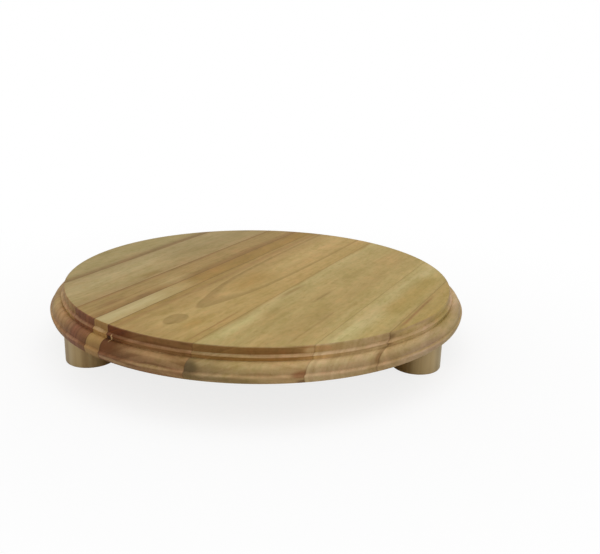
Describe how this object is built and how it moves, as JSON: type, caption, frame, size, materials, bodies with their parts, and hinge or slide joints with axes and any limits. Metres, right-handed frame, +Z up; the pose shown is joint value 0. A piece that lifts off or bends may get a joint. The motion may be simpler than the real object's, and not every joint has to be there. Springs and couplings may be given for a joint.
{
  "type": "rolling board",
  "caption": "Round edge-glued wooden rolling board with a moulded rim, standing on short turned feet, for rolling flatbread dough.",
  "frame": {"origin": "on the ground, below the centre of the round board", "axes": "+Z up, square to the rolling face; -Y is the side that faces the reader between the left and right feet; the wood's grain runs 60 degrees from +X towards +Y"},
  "size_m": [0.25, 0.25, 0.0359],
  "materials": {
    "olive_stave": "satin, fine sanded, thinly oiled",
    "brown_stave": "satin, fine sanded, thinly oiled",
    "pale_stave": "satin, fine sanded, thinly oiled",
    "tan_stave": "satin, fine sanded, thinly oiled",
    "straw_stave": "satin, fine sanded, thinly oiled",
    "foot_wood": "satin, fine sanded, thinly oiled",
    "dowel_wood": "bare, glued"
  },
  "bodies": {
    "root": {"stave_01": "olive_stave", "stave_02": "olive_stave", "stave_03": "brown_stave", "stave_04_front": "pale_stave", "stave_04_back": "tan_stave", "stave_05": "tan_stave", "stave_06": "tan_stave", "stave_07": "straw_stave", "stave_08": "straw_stave", "foot_left": "foot_wood", "foot_right": "foot_wood", "foot_back": "foot_wood", "dowel_left": "dowel_wood", "dowel_right": "dowel_wood", "dowel_back": "dowel_wood"}
  },
  "joints": []
}
